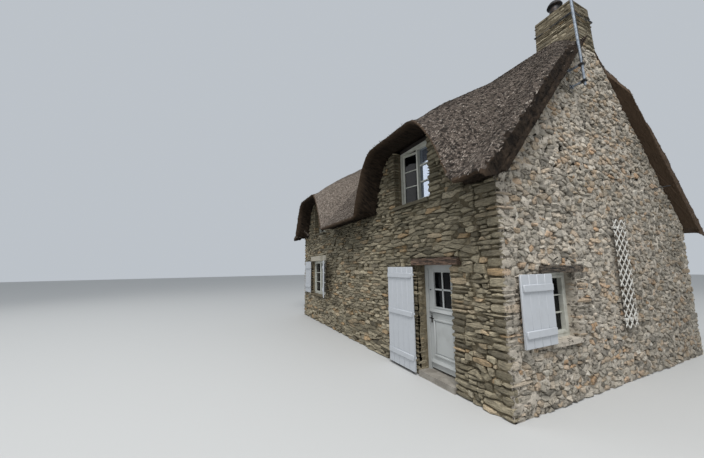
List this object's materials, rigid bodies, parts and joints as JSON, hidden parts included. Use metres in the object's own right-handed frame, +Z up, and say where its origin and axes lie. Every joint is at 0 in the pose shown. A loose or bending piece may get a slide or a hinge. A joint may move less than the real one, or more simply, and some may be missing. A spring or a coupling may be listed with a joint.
{
  "type": "thatched stone cottage",
  "caption": "Thatched rubble-stone cottage with a chimney on one gable, eyebrow dormers breaking the eave, a split entrance door and hinged window shutters.",
  "frame": {"origin": "on the ground under the plan centre of the walls", "axes": "+Z up, +X along the ridge towards the gable with the chimney, -Y out of the front with the entrance door"},
  "size_m": [9.68, 7.05, 7.4103],
  "materials": {
    "stone": "rough rubble with lime joints",
    "pale_stone": "rough",
    "thatch": "rough, weathered",
    "ridge_mortar": "rough",
    "slate": "matte",
    "old_timber": "weathered",
    "floor_boards": "satin",
    "white_paint": "painted, satin",
    "door_paint": "painted, satin",
    "pane": "clear",
    "iron": "satin",
    "zinc": "galvanised"
  },
  "bodies": {
    "house": {"antenna_mast": "zinc", "back_wall": "stone", "back_window_1_frame": "white_paint", "back_window_1_glass": "pane", "back_window_2_frame": "white_paint", "back_window_2_glass": "pane", "chimney_cowl": "iron", "chimney_slates": "slate", "chimney_stack": "stone", "door_frame": "door_paint", "door_lintel": "old_timber", "dormer_1_lintel": "old_timber", "dormer_1_sill": "pale_stone", "dormer_1_window_casement": "white_paint", "dormer_1_window_casement_glass": "pane", "dormer_1_window_frame": "white_paint", "dormer_1_window_glass": "pane", "dormer_2_lintel": "old_timber", "dormer_2_sill": "pale_stone", "dormer_2_window_frame": "white_paint", "dormer_2_window_glass": "pane", "floor_slab": "pale_stone", "front_wall_east": "stone", "front_wall_middle": "stone", "front_wall_over_door": "stone", "front_wall_over_window": "stone", "front_wall_under_window": "stone", "front_wall_west": "stone", "front_window_frame": "white_paint", "front_window_glass": "pane", "front_window_lintel": "pale_stone", "gable_wall_east": "stone", "gable_wall_west": "stone", "gable_window_frame": "white_paint", "gable_window_glass": "pane", "gable_window_lintel": "old_timber", "loft_floor": "floor_boards", "ridge_cap": "ridge_mortar", "thatch_back": "thatch", "thatch_front": "thatch", "threshold_stone": "pale_stone", "trellis": "white_paint"},
    "lower_leaf": {"door_lower_leaf": "door_paint", "door_handle": "iron"},
    "upper_leaf": {"door_upper_leaf": "door_paint", "door_glass": "pane"},
    "outer_door_shutter": {"door_shutter": "white_paint"},
    "gable_window_shutter": {"gable_shutter": "white_paint"},
    "left_window_shutter": {"front_shutter_left": "white_paint"},
    "right_window_shutter": {"front_shutter_right": "white_paint"}
  },
  "joints": [
    {"name": "lower_leaf_hinge", "type": "hinge", "parent": "house", "child": "lower_leaf", "pos_m": [3.635, -2.727, 0.6], "axis": [0, 0, 1], "range_deg": [-95, 0]},
    {"name": "upper_leaf_hinge", "type": "hinge", "parent": "house", "child": "upper_leaf", "pos_m": [3.635, -2.727, 1.5], "axis": [0, 0, 1], "range_deg": [-95, 0]},
    {"name": "door_shutter_hinge", "type": "hinge", "parent": "house", "child": "outer_door_shutter", "pos_m": [2.842, -3.085, 1], "axis": [0, 0, 1], "range_deg": [0, 180]},
    {"name": "gable_shutter_hinge", "type": "hinge", "parent": "house", "child": "gable_window_shutter", "pos_m": [4.71, -2.093, 1.3], "axis": [0, 0, 1], "range_deg": [0, 180]},
    {"name": "left_shutter_hinge", "type": "hinge", "parent": "house", "child": "left_window_shutter", "pos_m": [-3.558, -3.085, 1.5], "axis": [0, 0, 1], "range_deg": [0, 180]},
    {"name": "right_shutter_hinge", "type": "hinge", "parent": "house", "child": "right_window_shutter", "pos_m": [-2.142, -3.085, 1.5], "axis": [0, 0, 1], "range_deg": [-162, 18]}
  ]
}
